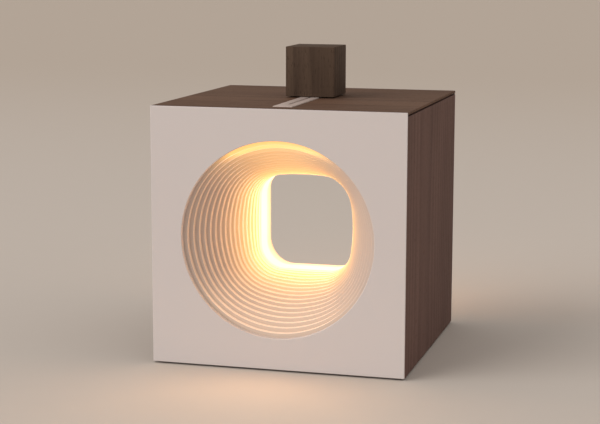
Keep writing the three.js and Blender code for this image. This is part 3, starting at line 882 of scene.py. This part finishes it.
class CUBELAMP_OT_stage(Operator):
    """Sets up the floor, the studio light and the camera"""

    bl_idname = "cube_lamp.stage"
    bl_label = "Stage"

    def execute(self, context):
        stage = settings().stage
        context.scene.view_settings.view_transform = "Standard"
        self.add_floor(stage)
        self.add_sky(stage)
        self.add_key(stage)
        self.add_camera(stage)
        return {"FINISHED"}

    def add_floor(self, stage):
        leave_all()
        bpy.ops.mesh.primitive_circle_add(vertices=FLOOR_SIDES, radius=stage.floor_radius, fill_type="NGON")
        floor = bpy.context.object
        floor.name = "floor"
        floor.data.materials.append(pale_floor())

    def add_sky(self, stage):
        """Even white light. What looks at the sky itself sees a backdrop in the floor's tone."""
        sky = Finish(bpy.data.worlds.new("studio"))
        light = sky.node("ShaderNodeBackground", sockets={"Color": (1, 1, 1, 1), "Strength": stage.sky})
        backdrop = sky.node("ShaderNodeBackground", sockets={"Color": (*stage.backdrop, 1)})
        seen, glossy, transmitted = (
            sky.node("ShaderNodeLightPath", output=f"Is {ray} Ray")
            for ray in ("Camera", "Glossy", "Transmission")
        )
        looks = seen.at_least(glossy).at_least(transmitted)
        mix = sky.node("ShaderNodeMixShader", sockets={0: looks, 1: light, 2: backdrop})
        bpy.context.scene.world = sky.end(mix, "ShaderNodeOutputWorld")

    def add_key(self, stage):
        leave_all()
        towards = direction(stage.key_azimuth, stage.key_elevation)
        bpy.ops.object.light_add(type="SUN", location=towards)
        key = bpy.context.object
        key.name = "key_light"
        key.rotation_euler = towards.to_track_quat("Z", "Y").to_euler()
        key.data.energy = stage.key
        key.data.angle = stage.key_spread

    def add_camera(self, stage):
        leave_all()
        back = direction(stage.azimuth, stage.elevation)
        aim = Vector((-stage.aim_left, 0, stage.aim_height))
        bpy.ops.object.camera_add(location=aim + back * stage.distance)
        camera = bpy.context.object
        camera.name = "camera"
        roll = Quaternion((0, 0, 1), stage.roll)
        camera.rotation_euler = (back.to_track_quat("Z", "Y") @ roll).to_euler()
        camera.data.lens = stage.focal_length
        camera.data.clip_end = 2 * stage.floor_radius
        bpy.context.scene.camera = camera


class CUBELAMP_OT_sheets(Operator):
    """Models the two stacks of white sheets that make the stepped funnels"""

    bl_idname = "cube_lamp.sheets"
    bl_label = "Sheets"

    def execute(self, context):
        faces = lacquered_sheet()
        walls = cut_edge()
        blanks = {}
        for stack in ("front", "rear"):
            for step in range(1, settings().funnel.steps + 1):
                node = f"{stack}_layer_{step:02d}"
                piece = dress(sheet(node, step, blanks), faces, "white_sheet", CASE, node)
                self.band_walls(piece, walls)
        for blank, _ in blanks.values():
            bpy.data.objects.remove(blank)
        return {"FINISHED"}

    def band_walls(self, piece, material):
        """Gives the faces through the sheet's thickness their own finish."""
        piece.data.materials.append(material)
        start_editing(piece, "FACE")
        select(piece, "faces", lambda face: abs(face.normal.y) < WALL_FACING)
        piece.active_material_index = 1
        bpy.ops.object.material_slot_assign()
        stop_editing()


class CUBELAMP_OT_panels(Operator):
    """Models the white front and rear panels"""

    bl_idname = "cube_lamp.panels"
    bl_label = "Panels"

    def execute(self, context):
        funnel = settings().funnel
        material = lacquered_panel()
        front = panel("front_panel", "front_face", -1)
        rear = panel("rear_panel", "rear_face", 1)
        carve(rear, *self.inlet_cutters(funnel))
        dress(soften(front, funnel.rim_radius), material, "white_panel", CASE, "front_panel")
        dress(soften(rear, funnel.rim_radius), material, "white_panel", CASE, "rear_panel")
        return {"FINISHED"}

    def inlet_cutters(self, funnel):
        """The hole for the inlet's barrel, and the seat round it for the flange."""
        inlet = settings().inlet
        low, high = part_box("power_inlet")
        panel_low, panel_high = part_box("rear_panel")
        axis = (low + high) / 2
        barrel = inlet.barrel_radius + funnel.running_gap
        flange = (high.x - low.x) / 2 + funnel.running_gap
        seat = high.y - inlet.flange_thickness - funnel.joint_gap
        return (
            rod("inlet_hole", barrel, panel_low.y - OVERRUN, seat + OVERRUN, axis),
            rod("inlet_seat", flange, seat, high.y + OVERRUN, axis),
        )


class CUBELAMP_OT_case(Operator):
    """Models the walnut boards of the case and the felt under it"""

    bl_idname = "cube_lamp.case"
    bl_label = "Case"

    def execute(self, context):
        case = settings().case
        plain = (1, 1, 1)
        # Node, piece, axis of the grain, heart of the wood in millimetres across the grain, and a colour
        # factor that is partly the board's own tone and partly painted light, highest on the right board,
        # which stands in shadow
        boards = (
            ("left_wall", "left_board", "Z", (-46, 18), (1.25, 1.25, 1.25)),
            ("right_wall", "right_board", "Z", (38, -24), (1.76, 1.88, 2.4)),
            ("bottom_board", "bottom_plate", "X", (12, -40), plain),
            ("top_lid", "lid", "X", (-22, 118), (1.53, 1.6, 1.62)),
            ("post_low_left", "low_left_post", "Y", (-95, 8), plain),
            ("post_low_right", "low_right_post", "Y", (60, -12), plain),
            ("post_high_left", "high_left_post", "Y", (-50, 170), plain),
            ("post_high_right", "high_right_post", "Y", (90, 130), plain),
        )
        for node, name, grain, heart, tone_and_painted_light in boards:
            material = walnut(f"walnut_{name}", grain, heart, tone_and_painted_light)
            slot = "dark_wood_lid" if node == "top_lid" else "dark_wood_wall"
            dress(from_node(node, name, case.edge_radius), material, slot, CASE, node)
        dress(self.felt_pad(case), felt(), "felt", CASE, "base_felt")
        return {"FINISHED"}

    def felt_pad(self, case):
        """A thin pad with rounded corners and soft edges."""
        low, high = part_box("base_felt")
        half_height = (high.z - low.z) / 2
        pad = block("felt_pad", low, high)
        start_editing(pad, "EDGE")
        select(pad, "edges", lambda edge: abs(edge.verts[0].co.z - edge.verts[1].co.z) > half_height)
        bpy.ops.mesh.bevel(offset=case.pad_corner, segments=FELT_STEPS, affect="EDGES")
        stop_editing()
        return soften(pad, case.pad_edge)


class CUBELAMP_OT_knob(Operator):
    """Models the small walnut cube that slides on the rail"""

    bl_idname = "cube_lamp.knob"
    bl_label = "Knob"

    def execute(self, context):
        dimmer = settings().dimmer
        low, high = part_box("knob")
        lever_low, lever_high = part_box("fader_wiper")
        middle = (low + high) / 2
        half = Vector((dimmer.socket_width, dimmer.socket_length, 0)) / 2
        socket_low = (middle.x - half.x, middle.y - half.y, low.z - OVERRUN)
        socket_high = (middle.x + half.x, middle.y + half.y, lever_high.z + settings().funnel.joint_gap)
        piece = carve(block("knob_cube", low, high), block("socket", socket_low, socket_high))
        material = walnut("walnut_knob", grain="Z", heart=(31, 66), tone_and_painted_light=(1.07, 1.3, 1.4))
        dress(soften(piece, dimmer.knob_edge, segments=3), material, "dark_wood_knob", SLIDER, "knob")
        return {"FINISHED"}


class CUBELAMP_OT_rail(Operator):
    """Models the satin rail, and finishes the sliding dimmer under the lid"""

    bl_idname = "cube_lamp.rail"
    bl_label = "Rail and dimmer"

    def execute(self, context):
        metal = brushed("satin_rail", settings().paint.rail, metallic=0.25, roughness=0.5)
        rail = from_node("slide_rail", "rail", settings().dimmer.rail_edge)
        dress(rail, metal, "satin_rail", CASE, "slide_rail")
        repaint(finish_once("steel", plated), "fader_housing", "fader_screw_front", "fader_screw_rear")
        repaint(finish_once("black_plastic", black_plastic), "fader_wiper")
        return {"FINISHED"}


class CUBELAMP_OT_ring(Operator):
    """Models the glowing ring, finishes its tape and carrier, and adds the light that it throws"""

    bl_idname = "cube_lamp.ring"
    bl_label = "Glowing ring"

    def execute(self, context):
        funnel = settings().funnel
        low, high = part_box("diffuser_ring")
        thickness = high.x - funnel.throat_half
        ring = self.square_ring(low, high, thickness, funnel.throat_corner + thickness)
        dress(soften(ring, funnel.ring_edge, segments=3), opal(), "opal_diffuser", CASE, "diffuser_ring")
        aluminium = settings().paint.aluminium
        repaint(brushed("aluminium_carrier", aluminium, metallic=0.95, roughness=0.3), "led_carrier")
        repaint(light_tape(), "led_strip")
        self.add_thrown_light(funnel)
        return {"FINISHED"}

    def square_ring(self, low, high, thickness, corner):
        """A block whose long edges are rounded, and whose ends are inset and bridged."""
        ring = block("diffuser", low, high)
        start_editing(ring, "EDGE")
        select(ring, "edges", lambda edge: abs(edge.verts[0].co.y - edge.verts[1].co.y) > high.y)
        bpy.ops.mesh.bevel(offset=corner, segments=RING_STEPS, affect="EDGES")
        bpy.ops.mesh.select_mode(type="FACE")
        select(ring, "faces", lambda face: abs(face.normal.y) > FACING)
        bpy.ops.mesh.inset(thickness=thickness)
        bpy.ops.mesh.bridge_edge_loops()
        stop_editing()
        return ring

    def add_thrown_light(self, funnel):
        """Round lights on the funnels' axis, out of the camera's sight.

        In each funnel one shines out through the throat, and one before the mouth lights the floor.
        """
        glow = settings().glow
        panel_low, panel_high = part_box("front_panel")
        mouth = abs(panel_low.y) + funnel.running_gap
        throat_size = glow.way_out_size * funnel.throat_half
        mouth_size = glow.mouth_size * funnel.mouth_radius
        for name, way in (("front", -1), ("rear", 1)):
            start = -way * glow.way_out_start
            self.add_disk(f"funnel_light_{name}", way, start, throat_size, glow.way_out_power, glow.thrown)
            start = way * mouth
            self.add_disk(f"mouth_light_{name}", way, start, mouth_size, glow.mouth_power, glow.spilled)

    def add_disk(self, name, way, depth, size, watts, tint):
        """A round light across the funnels' axis that faces the front or the rear."""
        leave_all()
        bpy.ops.object.light_add(type="AREA", location=(0, depth, case_middle()))
        lamp = bpy.context.object
        lamp.name = name
        lamp.data.shape = "DISK"
        lamp.data.size = size
        lamp.data.energy = watts
        lamp.data.color = tint
        lamp.visible_camera = False
        lamp.rotation_euler = (way * math.pi / 2, 0, 0)


class CUBELAMP_OT_inlet(Operator):
    """Models the power inlet, and finishes its nut, the control board and the leads"""

    bl_idname = "cube_lamp.inlet"
    bl_label = "Inlet and electronics"

    def execute(self, context):
        black = finish_once("black_plastic", black_plastic)
        dress(self.turned_inlet(), black, "black_plastic", CASE, "power_inlet")
        repaint(finish_once("steel", plated), "inlet_nut")
        repaint(circuit(), "control_board")
        sheath = moulded("lead_sheath", settings().paint.sheath, roughness=0.5, grain=900)
        repaint(sheath, "power_lead", "led_lead", "fader_lead")
        return {"FINISHED"}

    def turned_inlet(self):
        """Half a section, drawn point by point from the pin to the tail and spun."""
        low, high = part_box("power_inlet")
        axis = (low + high) / 2
        section = self.half_section((high.x - low.x) / 2, high.y - low.y)
        points = [Vector((axis.x + radius, high.y - depth, axis.z)) for radius, depth in section]
        leave_all()
        bpy.ops.mesh.primitive_plane_add(size=MM)
        piece = bpy.context.object
        piece.name = "inlet"
        start_editing(piece, "VERT")
        bpy.ops.mesh.select_all(action="SELECT")
        bpy.ops.mesh.merge(type="CENTER")
        bpy.ops.transform.translate(value=points[0])
        for previous, point in zip(points, points[1:]):
            bpy.ops.mesh.extrude_vertices_move(TRANSFORM_OT_translate={"value": point - previous})
        bpy.ops.mesh.select_all(action="SELECT")
        centre = (axis.x, high.y, axis.z)
        bpy.ops.mesh.spin(steps=TURNED_SIDES, angle=math.tau, center=centre, axis=(0, 1, 0))
        bpy.ops.mesh.select_all(action="SELECT")
        bpy.ops.mesh.remove_doubles(threshold=MERGE)
        bpy.ops.mesh.normals_make_consistent(inside=False)
        stop_editing()
        return piece

    def half_section(self, flange_radius, tail_end):
        """Each corner's distance from the axis, and its depth behind the face."""
        inlet = settings().inlet
        tip = inlet.pin_setback
        floor = inlet.socket_depth
        seat = inlet.flange_thickness
        end = seat + inlet.barrel_length
        return (
            (0, tip),
            (inlet.pin_radius - inlet.pin_slope, tip),
            (inlet.pin_radius, tip + inlet.pin_slope),
            (inlet.pin_radius, floor),
            (inlet.socket_radius, floor),
            (inlet.socket_radius, inlet.socket_slope),
            (inlet.socket_radius + inlet.socket_slope, 0),
            (flange_radius - inlet.flange_slope, 0),
            (flange_radius, inlet.flange_slope),
            (flange_radius, seat),
            (inlet.barrel_radius, seat),
            (inlet.barrel_radius, end),
            (inlet.tail_radius, end),
            (inlet.tail_radius, tail_end),
            (0, tail_end),
        )


class CUBELAMP_PT_panel(Panel):
    """The lamp's operators, in the order that they are run"""

    bl_idname = "CUBELAMP_PT_panel"
    bl_label = "Wooden cube lamp"
    bl_space_type = "VIEW_3D"
    bl_region_type = "UI"
    bl_category = "Lamp"

    def draw(self, context):
        for operator in OPERATORS:
            self.layout.operator(operator.bl_idname)


GROUPS = (FunnelSettings, CaseSettings, DimmerSettings, InletSettings, PaintSettings, GlowSettings)
GROUPS += (StageSettings, LampSettings)
OPERATORS = (
    CUBELAMP_OT_stage,
    CUBELAMP_OT_sheets,
    CUBELAMP_OT_panels,
    CUBELAMP_OT_case,
    CUBELAMP_OT_knob,
    CUBELAMP_OT_rail,
    CUBELAMP_OT_ring,
    CUBELAMP_OT_inlet,
)
CLASSES = (*GROUPS, *OPERATORS, CUBELAMP_PT_panel)


def register():
    for one in CLASSES:
        bpy.utils.register_class(one)
    bpy.types.Scene.cube_lamp = PointerProperty(type=LampSettings)


def unregister():
    del bpy.types.Scene.cube_lamp
    for one in reversed(CLASSES):
        bpy.utils.unregister_class(one)


def main():
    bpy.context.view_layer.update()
    register()
    bpy.ops.cube_lamp.stage()
    bpy.ops.cube_lamp.sheets()
    bpy.ops.cube_lamp.panels()
    bpy.ops.cube_lamp.case()
    bpy.ops.cube_lamp.knob()
    bpy.ops.cube_lamp.rail()
    bpy.ops.cube_lamp.ring()
    bpy.ops.cube_lamp.inlet()


if __name__ == "__main__":
    main()
